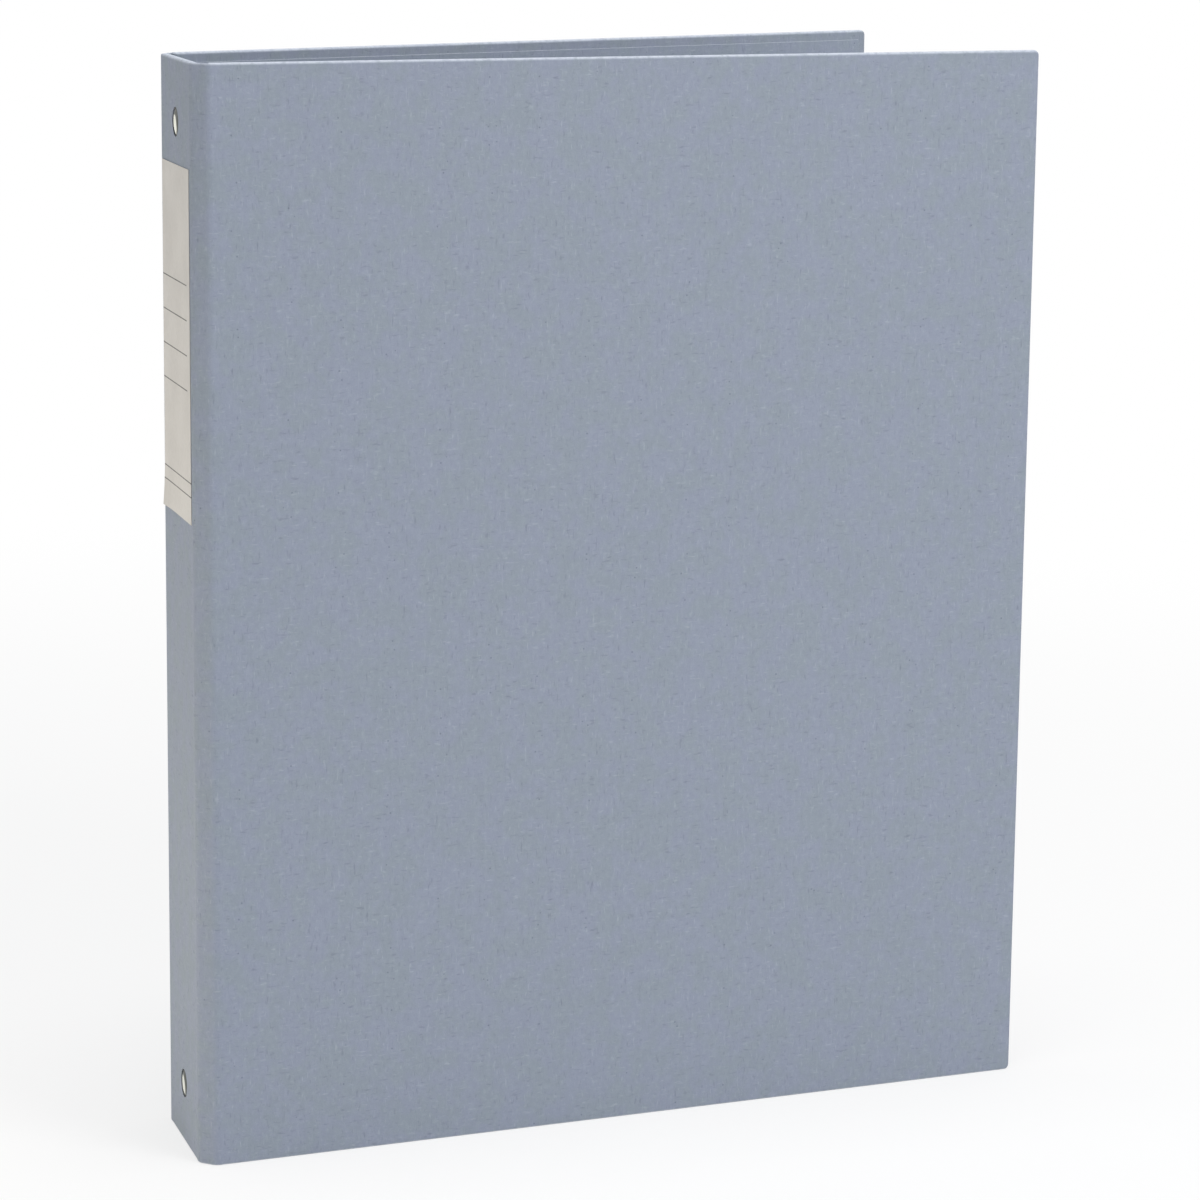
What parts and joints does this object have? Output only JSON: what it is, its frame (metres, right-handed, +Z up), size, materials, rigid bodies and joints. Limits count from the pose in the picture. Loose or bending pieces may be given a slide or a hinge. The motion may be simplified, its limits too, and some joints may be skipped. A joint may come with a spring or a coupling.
{
  "type": "ring binder",
  "caption": "Upright ring binder of paper-covered board, a little open, with hinged covers, round rings on a riveted arched housing and a plain spine label.",
  "frame": {"origin": "the middle of the spine's flat bottom edge, which the binder stands on", "axes": "+Z up along the spine, -Y out of the spine's outer face, +X towards the front cover"},
  "size_m": [0.1403, 0.2652, 0.32],
  "materials": {
    "wrap": "uncoated cloth-like covering paper, blue-grey with small flecks",
    "liner": "uncoated blue-grey lining paper",
    "board": "grey board",
    "label": "matte warm grey label paper",
    "nickel": "bright nickel plate",
    "steel": "plain plated steel strip",
    "rivet": "bright plate with a slight yellow cast"
  },
  "bodies": {
    "spine": {"spine_wrap": "wrap", "spine_board": "board", "spine_liner": "liner", "spine_label": "label", "ring_housing": "nickel", "rivet_bottom": "rivet", "rivet_top": "rivet"},
    "front_cover": {"front_wrap": "wrap", "front_board": "board", "front_liner": "liner"},
    "back_cover": {"back_wrap": "wrap", "back_board": "board", "back_liner": "liner"},
    "front_jaw": {"front_blade": "steel", "front_ring_1": "nickel", "front_ring_2": "nickel", "front_ring_3": "nickel", "front_ring_4": "nickel"},
    "back_jaw": {"back_blade": "steel", "back_ring_1": "nickel", "back_ring_2": "nickel", "back_ring_3": "nickel", "back_ring_4": "nickel"}
  },
  "joints": [
    {"name": "front_cover_hinge", "type": "hinge", "parent": "spine", "child": "front_cover", "pos_m": [0.0229, 0.00108, 0.16], "axis": [0, 0, -1], "range_deg": [-1, 96]},
    {"name": "back_cover_hinge", "type": "hinge", "parent": "spine", "child": "back_cover", "pos_m": [-0.02337, 0.00059, 0.16], "axis": [0, 0, 1], "range_deg": [-20, 70]},
    {"name": "front_jaw_turn", "type": "hinge", "parent": "spine", "child": "front_jaw", "pos_m": [0.0086, 0.00294, 0.16], "axis": [0, 0, -1], "range_deg": [0, 12]},
    {"name": "back_jaw_turn", "type": "hinge", "parent": "spine", "child": "back_jaw", "pos_m": [-0.0086, 0.00294, 0.16], "axis": [0, 0, 1], "range_deg": [0, 12]}
  ],
  "couplings": [
    {"joint": "back_jaw_turn", "follows": "front_jaw_turn", "ratio": 1}
  ]
}
